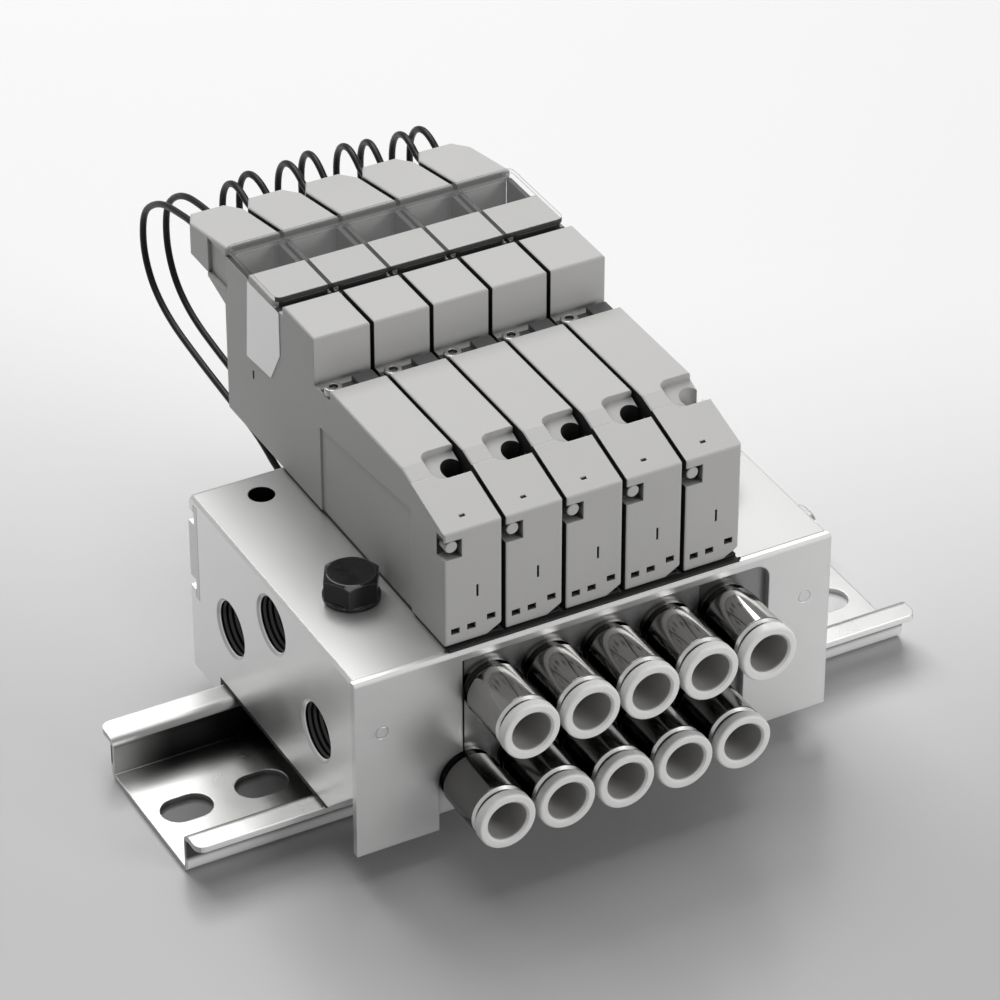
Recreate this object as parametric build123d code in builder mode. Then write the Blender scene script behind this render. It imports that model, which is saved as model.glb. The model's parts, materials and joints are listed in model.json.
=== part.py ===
from build123d import *
import os
from math import radians, tan

# Pneumatic valve island: five narrow valves on one manifold base, clamped to a
# top-hat rail. Millimetres. Origin: underside of the rail, on its centre line,
# under the middle of the base. X runs along the rail, -Y is the tube side,
# Z is up.

# Layout
valve_count = 5
valve_pitch = 10.0
valve_gap = 0.5
end_margin = 15.25
running_gap = 0.06
seat_gap = 0.03

# Top-hat rail
rail_length = 125.0
rail_width = 35.0
rail_wall_width = 27.0
rail_height = 7.5
rail_sheet = 1.0
rail_bend = 0.8
rail_shift = 1.25
rail_corner = 1.6
slot_pitch = 12.5
slot_length = 8.4
slot_width = 6.0

# Manifold base
base_depth = 56.0
base_height = 29.5
base_edge = 1.2
plate_sheet = 1.2
plate_drop = 2.0
heel_drop = 2.8
heel_reach = 1.3
heel_gap = 0.3
heel_width = 11.8
heel_edge = 2.0
notch_length = 12.4
notch_depth = 9.2
notch_height = 8.2

# Galleries and end ports
exhaust_y = 14.5
supply_set = 27.5
exhaust_drop = 16.8
supply_drop = 6.7
exhaust_radius = 3.5
supply_radius = 3.8
port_radius = 4.4
port_depth = 7.5
port_chamfer = 0.5

# Valve foot: offsets of the five ports from the valve's middle
port_pitch = 6.0
foot_radius = 1.3
vent_side = 2.5
work_side = 1.0
screw_side = 3.2
screw_front_set = 2.1
screw_rear_set = 1.8
screw_radius = 0.85
screw_hole_gap = 0.05
screw_bite = 5.0
screw_head_radius = 1.45
screw_head_height = 1.3
screw_recess_radius = 0.7
screw_recess_depth = 0.7
screw_head_edge = 0.35

# Mounting holes and clamp bolts
bolt_inset = 9.75
bolt_set = 9.5
bolt_radius = 2.4
bolt_hole_gap = 0.3
bolt_flats = 8.0
bolt_head = 3.9
bolt_washer = 0.6
bolt_washer_radius = 4.4
bolt_chamfer = 0.7
bolt_tip_gap = 0.9
thread_gap = 0.02
mount_hole_radius = 2.1
mount_hole_set = 5.8

# Rail clamp
clamp_width = 8.0
clamp_thickness = 3.2
clamp_pocket_height = 4.0
clamp_tail = 5.0
clamp_nose = 12.0
clamp_hook = 1.6
clamp_hook_height = 2.0
clamp_side_gap = 0.15
clamp_edge_gap = 0.3

# Tube fittings
fitting_stagger = 2.0
upper_drop = 7.7
lower_drop = 22.7
insert_radius = 4.0
insert_length = 7.4
collar_radius = 4.3
collar_length = 0.9
neck_radius = 3.7
neck_length = 1.2
barrel_radius = 4.6
barrel_length = 9.5
barrel_edge = 0.5
tube_radius = 3.05
tube_seat_length = 5.0
tube_stop_radius = 2.0
ring_bore_radius = 3.8
ring_lip_radius = 4.7
ring_lip = 1.6
ring_hole_radius = 3.15
ring_mouth = 0.4
ring_travel = 0.8
ring_spare = 0.15
ring_tail = 8.0
ring_edge = 0.4
work_bore_radius = 1.9
return_bore_radius = 1.5

# Front plate window
window_side_gap = 0.3
window_spare = 3.2
window_top_drop = 1.7
window_step_drop = 19.0
window_corner = 2.6
plate_bevel = 0.4
pin_radius = 1.0
pin_length = 6.0
pin_inset = 4.4
pin_drop = 10.0

# Lead strip in the back of the base
strip_top_drop = 4.9
strip_height = 10.2
strip_groove_top = 2.6
strip_groove_low = 17.0
strip_foot_top = 1.3
strip_foot_low = 18.3
strip_depth = 3.1
strip_lip = 1.8
strip_play = 0.1

# Valve
valve_setback = 1.4
gasket_sheet = 0.7
gasket_inset = 0.3
cap_length = 10.3
cap_front_height = 19.6
cap_rear_height = 22.6
body_length = 29.5
body_height = 23.5
body_slope = 3.0
body_edge = 0.4
side_relief = 0.3
relief_front_height = 18.0
relief_rear_height = 15.0
housing_length = 32.2
shelf_height = 21.6
shelf_length = 1.5
trench_length = 3.7
tongue_side = 2.4
tongue_width = 3.4
tongue_height = 1.0
step_length = 10.3
step_height = 29.8
groove_width = 2.3
groove_depth = 1.7
lamp_length = 9.3
lamp_corner = 1.6
ledge_depth = 1.9
trough_front_height = 24.3
housing_wall = 0.8
socket_height = 21.3
socket_length = 6.1
socket_slope = 2.4
socket_lip = 0.6
socket_gap = 0.3
label_pad = 0.12
label_outline = [(13.0, 27.9), (23.8, 27.7), (24.8, 13.7), (16.4, 14.4), (13.0, 20.3)]
side_slit_spot = (22.8, 11.3)
side_slit_size = (0.6, 1.6)
side_slit_depth = 0.4

# Spool and pilot
spool_height = 8.3
spool_bore_radius = 1.9
spool_start = 1.6
spool_end_land = 1.4
spool_overlap = 0.1
spool_rear_land = 2.7
spool_pocket = 4.0
spool_waist = 1.1
spool_travel = 1.5
coil_radius = 3.6
coil_length = 15.0
coil_height = 12.0
coil_rear_wall = 4.0
core_radius = 1.5
core_length = 3.0
bobbin_flange = 1.0
winding_drop = 0.3

# Manual override
button_side = -3.4
button_height = 17.0
button_radius = 1.0
button_pocket_depth = 2.2
button_pocket_width = 2.9
button_pocket_height = 3.2
button_pocket_drop = 0.35
button_stem = 4.0
button_travel = 1.0
button_proud = 1.9
button_stem_gap = 0.3
button_rim = 0.2

# Openings in the cap's front
vent_size = (1.4, 1.0)
vent_depth = 1.6
vent_spots = [(-3.0, 2.2), (-0.35, 2.3), (2.9, 3.0)]
slit_size = (0.35, 2.1)
slit_spot = (0.65, 8.3)
mark_size = (0.9, 0.5)
mark_depth = 0.3
mark_side = -0.5
mark_set_back = 2.5
notch_side = 2.6
notch_rise = 1.5

# Screw pockets on the valve's top: a sloping scoop beside a deep well
pocket_length = 6.0
pocket_lead = 1.0
pocket_width = 5.9
pocket_depth = 3.4
pocket_slope = 2.2
pocket_corner = 1.9
well_depth = 7.0
well_radius = 1.75

# Indicator cover
cover_sheet = 0.8
cover_gap = 0.1
cover_corner = 1.2

# Lead plug
plug_side_gap = 0.1
plug_edge = 0.4
plug_front_height = 29.3
plug_rear_height = 26.1
plug_length = 16.4
plug_full_length = 12.9
plug_nose_width = 5.8
plug_waist = 0.6
plug_waist_length = 6.5
plug_waist_height = 27.6

# Leads
lead_radius = 0.55
lead_spread = 1.85
lead_seat = 1.5
lead_hole_spare = 0.1
lead_plug_height = 23.3
lead_strip_height = 30.9

# Worked out
base_length = valve_count * valve_pitch + 2 * end_margin
valve_width = valve_pitch - valve_gap
base_bottom = rail_height
base_top = base_bottom + base_height
plate_front = -base_depth / 2
base_front = plate_front + plate_sheet
base_back = base_depth / 2
base_end = base_length / 2
rail_flange_underside = rail_height - rail_sheet
valve_front = plate_front + valve_setback
valve_floor = base_top + gasket_sheet
cap_seam = valve_front + cap_length
body_end = cap_seam + body_length
housing_end = body_end + housing_length
supply_y = plate_front + supply_set
screw_front_y = cap_seam + screw_front_set
screw_rear_y = body_end - screw_rear_set
bolt_y = bolt_set - rail_width / 2
mount_hole_y = base_back - mount_hole_set
step_front = body_end + shelf_length
step_back = step_front + step_length
lamp_front = step_back + groove_width
lamp_back = lamp_front + lamp_length
valve_x = [(i - (valve_count - 1) / 2) * valve_pitch for i in range(valve_count)]
bolt_x = base_end - bolt_inset
upper_z = base_top - upper_drop
lower_z = base_top - lower_drop
exhaust_z = base_top - exhaust_drop
supply_z = base_top - supply_drop
spool_z = valve_floor + spool_height
upper_x = [x + fitting_stagger for x in valve_x]
lower_x = [x - fitting_stagger for x in valve_x]
half_valve = valve_width / 2
body_top = valve_floor + body_height
cap_front_z = valve_floor + cap_front_height
cap_rear_z = valve_floor + cap_rear_height
pocket_floor = body_top - pocket_depth
pocket_front = cap_seam - pocket_lead
pocket_back = pocket_front + pocket_length
well_floor = body_top - well_depth
trench_front = body_end - trench_length
shelf_z = valve_floor + shelf_height
step_z = valve_floor + step_height
groove_z = step_z - groove_depth
lamp_z = step_z - cover_sheet - cover_gap
ledge_z = step_z - ledge_depth
ledge_back = housing_end - housing_wall
socket_z = valve_floor + socket_height
socket_end = housing_end + socket_length
plug_front = ledge_back + socket_gap
plug_back = plug_front + plug_length
coil_back = housing_end - coil_rear_wall
coil_front = coil_back - coil_length
coil_z = valve_floor + coil_height
button_z = valve_floor + button_height
button_floor = valve_front + button_pocket_depth
barrel_start = collar_length + neck_length
barrel_end = barrel_start + barrel_length
ring_back = barrel_end + ring_travel + ring_spare
ring_tail_end = ring_back - ring_tail
ring_face = ring_back + ring_lip
bore_floor = ring_tail_end - ring_travel - ring_spare
tube_stop = bore_floor - tube_seat_length

# Each foot port: side offset, depth position and the height it is drilled to
foot_ports = [
    (-vent_side, supply_y - 2 * port_pitch, exhaust_z),
    (work_side, supply_y - port_pitch, upper_z),
    (0.0, supply_y, supply_z),
    (-work_side, supply_y + port_pitch, lower_z),
    (0.0, supply_y + 2 * port_pitch, exhaust_z),
]
screw_spots = [(screw_side, screw_front_y), (-screw_side, screw_rear_y)]
screw_seats = (well_floor, shelf_z)

os.makedirs("parts", exist_ok=True)


def save(part, name):
    part.label = name
    export_step(part, f"parts/{name}.step")


def upright(x, y, z):
    """Plane whose normal points up, at a point."""
    return Plane(origin=(x, y, z), x_dir=(1, 0, 0), z_dir=(0, 0, 1))


def facing_tubes(x, y, z):
    """Plane whose normal points to the tube side, at a point."""
    return Plane(origin=(x, y, z), x_dir=(1, 0, 0), z_dir=(0, -1, 0))


def end_on(x, y, z, side):
    """Plane whose normal points out of one end of the base."""
    return Plane(origin=(x, y, z), x_dir=(0, side, 0), z_dir=(side, 0, 0))


# Top-hat rail: bent strip with a row of slots
half_web = rail_wall_width / 2
half_rail = rail_width / 2
rail_profile = [
    (-half_rail, rail_height),
    (-half_rail, rail_flange_underside),
    (-half_web, rail_flange_underside),
    (-half_web, 0),
    (half_web, 0),
    (half_web, rail_flange_underside),
    (half_rail, rail_flange_underside),
    (half_rail, rail_height),
    (half_web - rail_sheet, rail_height),
    (half_web - rail_sheet, rail_sheet),
    (rail_sheet - half_web, rail_sheet),
    (rail_sheet - half_web, rail_height),
]
with BuildPart() as din_rail:
    with BuildSketch(Plane.YZ.offset(rail_shift - rail_length / 2)) as hat:
        with BuildLine():
            Polyline(*rail_profile, close=True)
        make_face()
        bends = hat.vertices().filter_by(lambda v: abs(v.X) < half_rail - rail_sheet)
        outer_bends = bends.filter_by(lambda v: v.Y < rail_sheet / 2)
        outer_bends += bends.filter_by(lambda v: v.Y > rail_height - rail_sheet / 2)
        inner_bends = bends.filter_by(lambda v: rail_sheet / 2 < v.Y < rail_height - rail_sheet / 2)
        fillet(outer_bends, rail_bend + rail_sheet)
        fillet(inner_bends, rail_bend)
    extrude(amount=rail_length)
    flange_tips = din_rail.edges().filter_by(Axis.Z).filter_by(lambda e: abs(e.center().Y) > half_rail - 0.1)
    fillet(flange_tips, rail_corner)
    slot_count = int(rail_length // slot_pitch)
    with BuildSketch(upright(rail_shift, 0, 0)):
        with GridLocations(slot_pitch, 1, slot_count, 1):
            SlotOverall(slot_length, slot_width)
    extrude(amount=rail_sheet, mode=Mode.SUBTRACT)
save(din_rail.part, "din_rail")

# Manifold base: one extruded section with a hooked heel behind the rail and a
# T-shaped channel for the lead strip
lip_y = base_back - strip_lip
channel_y = base_back - strip_depth
channel_top = base_top - strip_foot_top + strip_play
channel_low = base_top - strip_foot_low - strip_play
heel_z = base_bottom - heel_drop
heel_front = base_back - heel_width
base_profile = [
    (base_front, base_top),
    (base_back, base_top),
    (base_back, base_top - strip_groove_top),
    (lip_y, base_top - strip_groove_top),
    (lip_y, channel_top),
    (channel_y, channel_top),
    (channel_y, channel_low),
    (lip_y, channel_low),
    (lip_y, base_top - strip_groove_low),
    (base_back, base_top - strip_groove_low),
    (base_back, heel_z),
    (heel_front, heel_z),
    (heel_front, rail_flange_underside - seat_gap),
    (half_rail + heel_gap, rail_flange_underside - seat_gap),
    (half_rail + heel_gap, base_bottom),
    (base_front, base_bottom),
]
clamp_top = base_bottom + clamp_pocket_height
clamp_rear = bolt_y + clamp_tail
clamp_front = bolt_y - clamp_nose
with BuildPart() as manifold_base:
    with BuildSketch(Plane.YZ.offset(-base_end)) as section:
        with BuildLine():
            Polyline(*base_profile, close=True)
        make_face()
        back_corners = section.vertices().filter_by(lambda v: v.X > base_back - 0.01)
        fillet(back_corners.sort_by(Axis.Y)[-1], base_edge)
        fillet(back_corners.sort_by(Axis.Y)[0], heel_edge)
    extrude(amount=base_length)
    for side in (-1, 1):
        with BuildSketch(Plane.YZ.offset(side * base_end)):
            with BuildLine():
                Polyline(
                    (base_front, base_bottom),
                    (base_front, base_bottom + notch_height),
                    (base_front + notch_depth, base_bottom),
                    close=True,
                )
            make_face()
        extrude(amount=-side * notch_length, mode=Mode.SUBTRACT)
    pocket_middle = (clamp_rear + clamp_front) / 2
    with BuildSketch(upright(0, pocket_middle, base_bottom)):
        with Locations((-bolt_x, 0), (bolt_x, 0)):
            Rectangle(
                clamp_width + 2 * clamp_side_gap,
                clamp_rear - clamp_front + 2 * clamp_edge_gap,
            )
    extrude(amount=clamp_pocket_height, mode=Mode.SUBTRACT)
    with BuildSketch(Plane.YZ.offset(-base_end)):
        with Locations((supply_y - exhaust_y, exhaust_z), (supply_y + exhaust_y, exhaust_z)):
            Circle(exhaust_radius)
        with Locations((supply_y, supply_z)):
            Circle(supply_radius)
    extrude(amount=base_length, mode=Mode.SUBTRACT)
    for side in (-1, 1):
        with BuildSketch(Plane.YZ.offset(side * base_end)):
            with Locations(
                (supply_y - exhaust_y, exhaust_z),
                (supply_y, supply_z),
                (supply_y + exhaust_y, exhaust_z),
            ):
                Circle(port_radius)
        extrude(amount=-side * port_depth, mode=Mode.SUBTRACT)
    port_rims = manifold_base.edges().filter_by(GeomType.CIRCLE)
    port_rims = port_rims.filter_by(lambda e: abs(e.center().X) > base_end - 0.01)
    chamfer(port_rims, port_chamfer)
    for side, y, floor in foot_ports:
        with BuildSketch(upright(0, y, base_top)):
            with Locations(*[(x + side, 0) for x in valve_x]):
                Circle(foot_radius)
        extrude(amount=floor - base_top, mode=Mode.SUBTRACT)
    for side, y in screw_spots:
        with BuildSketch(upright(0, y, base_top)):
            with Locations(*[(x + side, 0) for x in valve_x]):
                Circle(screw_radius + thread_gap)
        extrude(amount=-screw_bite, mode=Mode.SUBTRACT)
    with BuildSketch(facing_tubes(0, base_front, 0)):
        with Locations(*[(x, upper_z) for x in upper_x], *[(x, lower_z) for x in lower_x]):
            Circle(insert_radius + seat_gap)
    extrude(amount=-insert_length, mode=Mode.SUBTRACT)
    with BuildSketch(facing_tubes(0, base_front, 0)):
        with Locations(*[(x, upper_z) for x in upper_x]):
            Circle(work_bore_radius)
    extrude(amount=base_front - foot_ports[1][1], mode=Mode.SUBTRACT)
    with BuildSketch(facing_tubes(0, base_front, 0)):
        with Locations(*[(x, lower_z) for x in lower_x]):
            Circle(return_bore_radius)
    extrude(amount=base_front - foot_ports[3][1], mode=Mode.SUBTRACT)
    with BuildSketch(facing_tubes(0, base_front, 0)):
        with Locations(*[(side * (base_end - pin_inset), base_top - pin_drop) for side in (-1, 1)]):
            Circle(pin_radius + seat_gap)
    extrude(amount=plate_sheet - pin_length, mode=Mode.SUBTRACT)
    with BuildSketch(upright(0, 0, base_top)):
        with Locations((-bolt_x, bolt_y), (bolt_x, bolt_y)):
            Circle(bolt_radius + bolt_hole_gap)
        with Locations((-bolt_x, mount_hole_y), (bolt_x, mount_hole_y)):
            Circle(mount_hole_radius)
    extrude(amount=heel_z - base_top, mode=Mode.SUBTRACT)
save(manifold_base.part, "manifold_base")

# Port plate: sheet with a stepped window around the two rows of fittings
plate_bottom = base_bottom - plate_drop
window_top = base_top - window_top_drop
window_step = base_top - window_step_drop
upper_left = upper_x[0] - collar_radius - window_side_gap
upper_right = upper_x[-1] + collar_radius + window_spare
lower_left = lower_x[0] - collar_radius - window_side_gap
lower_right = lower_x[-1] + collar_radius + window_spare
with BuildPart() as port_plate:
    with BuildSketch(facing_tubes(0, base_front, (base_top + plate_bottom) / 2)):
        Rectangle(base_length, base_top - plate_bottom)
    extrude(amount=plate_sheet)
    with BuildSketch(facing_tubes(0, base_front, 0)) as window:
        with Locations(((upper_left + upper_right) / 2, (window_step + window_top) / 2)):
            Rectangle(upper_right - upper_left, window_top - window_step)
        fillet(window.vertices().group_by(Axis.Y)[-1].sort_by(Axis.X)[-1], window_corner)
        with Locations((lower_x[0], lower_z)):
            Circle(collar_radius + window_side_gap)
        with Locations(((lower_left + lower_right) / 2, (plate_bottom + lower_z) / 2)):
            Rectangle(lower_right - lower_left, lower_z - plate_bottom)
        with Locations(((lower_x[0] + lower_right) / 2, (lower_z + window_step) / 2)):
            Rectangle(lower_right - lower_x[0], window_step - lower_z)
    extrude(amount=plate_sheet, mode=Mode.SUBTRACT)
    with BuildSketch(facing_tubes(0, base_front, base_top - pin_drop)):
        with Locations((pin_inset - base_end, 0), (base_end - pin_inset, 0)):
            Circle(pin_radius + seat_gap)
    extrude(amount=plate_sheet, mode=Mode.SUBTRACT)
    top_edge = port_plate.edges().filter_by(Axis.X).group_by(Axis.Z)[-1].sort_by(Axis.Y)[0]
    chamfer(top_edge, plate_bevel)
save(port_plate.part, "port_plate")

# Two dowel pins through the port plate
with BuildPart() as plate_pins:
    with BuildSketch(facing_tubes(0, plate_front, base_top - pin_drop)):
        with Locations((pin_inset - base_end, 0), (base_end - pin_inset, 0)):
            Circle(pin_radius)
    extrude(amount=-pin_length)
save(plate_pins.part, "plate_pins")

# Rail clamps: a nut plate under each end, hooked round the near rail flange
hook_tip = clamp_hook_height + base_bottom - rail_flange_underside
clamp_low = rail_flange_underside - clamp_hook_height
hook_y = -half_rail - clamp_edge_gap
clamp_profile = [
    (clamp_rear, clamp_top),
    (clamp_front, clamp_top),
    (clamp_front, clamp_low),
    (hook_y + clamp_hook, clamp_low),
    (hook_y + clamp_hook, rail_flange_underside - seat_gap),
    (hook_y, rail_flange_underside - seat_gap),
    (hook_y, clamp_top - clamp_thickness),
    (clamp_rear, clamp_top - clamp_thickness),
]
for side, name in ((-1, "rail_clamp_left"), (1, "rail_clamp_right")):
    with BuildPart() as rail_clamp:
        with BuildSketch(Plane.YZ.offset(side * bolt_x - clamp_width / 2)):
            with BuildLine():
                Polyline(*clamp_profile, close=True)
            make_face()
        extrude(amount=clamp_width)
        with BuildSketch(upright(side * bolt_x, bolt_y, clamp_top)):
            Circle(bolt_radius + thread_gap)
        extrude(amount=-clamp_thickness, mode=Mode.SUBTRACT)
    save(rail_clamp.part, name)

# Clamp bolts: hexagon heads on washer faces
head_base = base_top + bolt_washer
head_top = head_base + bolt_head
with BuildPart() as clamp_bolts:
    for x in (-bolt_x, bolt_x):
        with BuildSketch(upright(x, bolt_y, base_bottom + bolt_tip_gap)):
            Circle(bolt_radius)
        extrude(amount=base_height - bolt_tip_gap)
        with BuildSketch(upright(x, bolt_y, base_top)):
            Circle(bolt_washer_radius)
        extrude(amount=bolt_washer)
        with BuildSketch(upright(x, bolt_y, head_base)):
            RegularPolygon(bolt_flats / 2, 6, major_radius=False)
        extrude(amount=bolt_head)
        with BuildSketch(facing_tubes(x, bolt_y, head_top)):
            with BuildLine():
                Polyline(
                    (bolt_flats / 2 - bolt_chamfer / 2, 0),
                    (bolt_flats / 2 + 2 * bolt_chamfer, 0),
                    (bolt_flats / 2 + 2 * bolt_chamfer, -1.5 * bolt_chamfer),
                    close=True,
                )
            make_face()
        revolve(axis=Axis((x, bolt_y, 0), (0, 0, 1)), mode=Mode.SUBTRACT)
save(clamp_bolts.part, "clamp_bolts")

# Tube fitting: turned body, drawn along its own axis towards the tube
turning = Plane(origin=(0, 0, 0), x_dir=(0, -1, 0), z_dir=(-1, 0, 0))
with BuildPart() as fitting:
    with BuildSketch(turning) as turned:
        with BuildLine():
            Polyline(
                (-insert_length, tube_stop_radius),
                (-insert_length, insert_radius),
                (0, insert_radius),
                (0, collar_radius),
                (collar_length, collar_radius),
                (collar_length, neck_radius),
                (barrel_start, neck_radius),
                (barrel_start, barrel_radius),
                (barrel_end, barrel_radius),
                (barrel_end, ring_bore_radius),
                (bore_floor, ring_bore_radius),
                (bore_floor, tube_radius),
                (tube_stop, tube_radius),
                (tube_stop, tube_stop_radius),
                close=True,
            )
        make_face()
        chamfer(turned.vertices().filter_by(lambda v: v.Y > barrel_radius - 0.01), barrel_edge)
    revolve(axis=Axis.Y)

with BuildPart() as upper_fittings:
    with Locations(*[(x, base_front, upper_z) for x in upper_x]):
        add(fitting.part)
save(upper_fittings.part, "upper_fittings")

with BuildPart() as lower_fittings:
    with Locations(*[(x, base_front, lower_z) for x in lower_x]):
        add(fitting.part)
save(lower_fittings.part, "lower_fittings")

# Release ring: slides in the fitting's mouth to let the tube go
with BuildPart() as release_ring:
    with BuildSketch(turning) as turned:
        with BuildLine():
            Polyline(
                (ring_tail_end, ring_hole_radius),
                (ring_tail_end, ring_bore_radius - running_gap),
                (ring_back, ring_bore_radius - running_gap),
                (ring_back, ring_lip_radius),
                (ring_face, ring_lip_radius),
                (ring_face, ring_hole_radius),
                close=True,
            )
        make_face()
        face_corners = turned.vertices().filter_by(lambda v: v.X > ring_face - 0.01)
        chamfer(face_corners.sort_by(Axis.Y)[0], ring_mouth)
        fillet(face_corners.sort_by(Axis.Y)[-1], ring_edge)
    revolve(axis=Axis.Y)

for row, xs, z in (("upper", upper_x, upper_z), ("lower", lower_x, lower_z)):
    for number, x in enumerate(xs, start=1):
        with BuildPart() as placed_ring:
            with Locations((x, base_front, z)):
                add(release_ring.part)
        save(placed_ring.part, f"release_ring_{row}_{number}")

# Valve gaskets: one sheet under each valve, pierced like the valve's foot
gasket_front = valve_front + gasket_inset
gasket_back = base_back - gasket_inset - base_edge
with BuildPart() as valve_gaskets:
    with BuildSketch(upright(0, 0, base_top)):
        with Locations(*[(x, (gasket_front + gasket_back) / 2) for x in valve_x]):
            Rectangle(valve_width - 2 * gasket_inset, gasket_back - gasket_front)
        for side, y, floor in foot_ports:
            with Locations(*[(x + side, y) for x in valve_x]):
                Circle(foot_radius, mode=Mode.SUBTRACT)
        for side, y in screw_spots:
            with Locations(*[(x + side, y) for x in valve_x]):
                Circle(screw_radius + screw_hole_gap, mode=Mode.SUBTRACT)
    extrude(amount=gasket_sheet)
save(valve_gaskets.part, "valve_gaskets")

# Space over the front screw, open to the valve's right side: a scoop with a
# rounded left end and a floor that falls forwards, and the screw's deep well
with BuildPart() as screw_pocket:
    with BuildSketch(upright(0, pocket_front, pocket_floor)) as scoop:
        with Locations((half_valve - pocket_width, 0)):
            Rectangle(pocket_width, pocket_length, align=(Align.MIN, Align.MIN))
        fillet(scoop.vertices().group_by(Axis.X)[0], pocket_corner)
    extrude(amount=2 * pocket_depth)
    with BuildSketch(Plane.YZ):
        with BuildLine():
            Polyline(
                (pocket_front, pocket_floor),
                (pocket_back, pocket_floor),
                (pocket_back, pocket_floor + pocket_slope),
                close=True,
            )
        make_face()
    extrude(amount=half_valve, both=True, mode=Mode.SUBTRACT)
    with BuildSketch(upright(screw_side, screw_front_y, well_floor)):
        Circle(well_radius)
    extrude(amount=well_depth)

# Valve body: ported block with the spool bore
with BuildPart() as valve_body:
    with BuildSketch(Plane.YZ):
        with BuildLine():
            Polyline(
                (cap_seam, valve_floor),
                (cap_seam, cap_rear_z),
                (cap_seam + body_slope, body_top),
                (trench_front, body_top),
                (trench_front, shelf_z),
                (body_end, shelf_z),
                (body_end, valve_floor),
                close=True,
            )
        make_face()
    extrude(amount=half_valve, both=True)
    top_edges = valve_body.edges().filter_by(lambda e: abs(e.center().X) > half_valve - 0.01)
    top_edges = top_edges.filter_by(lambda e: e.center().Z > cap_rear_z + 0.01)
    top_edges = top_edges.filter_by(lambda e: e.center().Y < trench_front - 0.01)
    fillet(top_edges, body_edge)
    with BuildSketch(Plane.YZ.offset(half_valve - side_relief)) as relief:
        with BuildLine():
            Polyline(
                (cap_seam, valve_floor),
                (cap_seam, valve_floor + relief_front_height),
                (body_end, valve_floor + relief_rear_height),
                (body_end, valve_floor),
                close=True,
            )
        make_face()
    right_relief = extrude(amount=side_relief, mode=Mode.SUBTRACT)
    mirror(right_relief, about=Plane.YZ, mode=Mode.SUBTRACT)
    add(screw_pocket.part, mode=Mode.SUBTRACT)
    with BuildSketch(upright(tongue_side, trench_front, shelf_z)):
        Rectangle(tongue_width, trench_length, align=(Align.CENTER, Align.MIN))
    extrude(amount=tongue_height)
    for side, y, floor in foot_ports:
        with BuildSketch(upright(side, y, valve_floor)):
            Circle(foot_radius)
        extrude(amount=spool_height, mode=Mode.SUBTRACT)
    with BuildSketch(facing_tubes(0, cap_seam, spool_z)):
        Circle(spool_bore_radius)
    extrude(amount=-body_length, mode=Mode.SUBTRACT)
    for side, y in screw_spots:
        with BuildSketch(upright(side, y, valve_floor)):
            Circle(screw_radius + screw_hole_gap)
        extrude(amount=body_height, mode=Mode.SUBTRACT)

# Front cap: closes the spool bore and carries the manual override
with BuildPart() as front_cap:
    with BuildSketch(Plane.YZ):
        with BuildLine():
            Polyline(
                (valve_front, valve_floor),
                (valve_front, cap_front_z),
                (cap_seam, cap_rear_z),
                (cap_seam, valve_floor),
                close=True,
            )
        make_face()
    extrude(amount=half_valve, both=True)
    front_edges = front_cap.faces().sort_by(Axis.Y)[0].edges()
    soft_edges = front_edges.filter_by(Axis.Z) + front_edges.sort_by(Axis.Z)[-1:]
    fillet(soft_edges, body_edge)
    add(screw_pocket.part, mode=Mode.SUBTRACT)
    with BuildSketch(facing_tubes(0, valve_front, valve_floor)):
        with Locations(*vent_spots):
            Rectangle(*vent_size)
        with Locations(slit_spot):
            Rectangle(*slit_size)
        with BuildLine():
            Polyline(
                (half_valve - notch_side, 0),
                (half_valve, 0),
                (half_valve, notch_rise),
                close=True,
            )
        make_face()
    extrude(amount=-vent_depth, mode=Mode.SUBTRACT)
    with BuildSketch(facing_tubes(-half_valve, valve_front, button_z - button_pocket_drop)):
        Rectangle(button_pocket_width, button_pocket_height, align=(Align.MIN, Align.CENTER))
    extrude(amount=-button_pocket_depth, mode=Mode.SUBTRACT)
    with BuildSketch(facing_tubes(button_side, button_floor, button_z)):
        Circle(button_radius + running_gap)
    extrude(amount=-button_stem - button_travel - button_stem_gap, mode=Mode.SUBTRACT)
    with BuildSketch(upright(mark_side, valve_front + mark_set_back, cap_rear_z)):
        Rectangle(*mark_size)
    extrude(amount=cap_front_z - cap_rear_z + mark_depth, mode=Mode.SUBTRACT)

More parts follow.
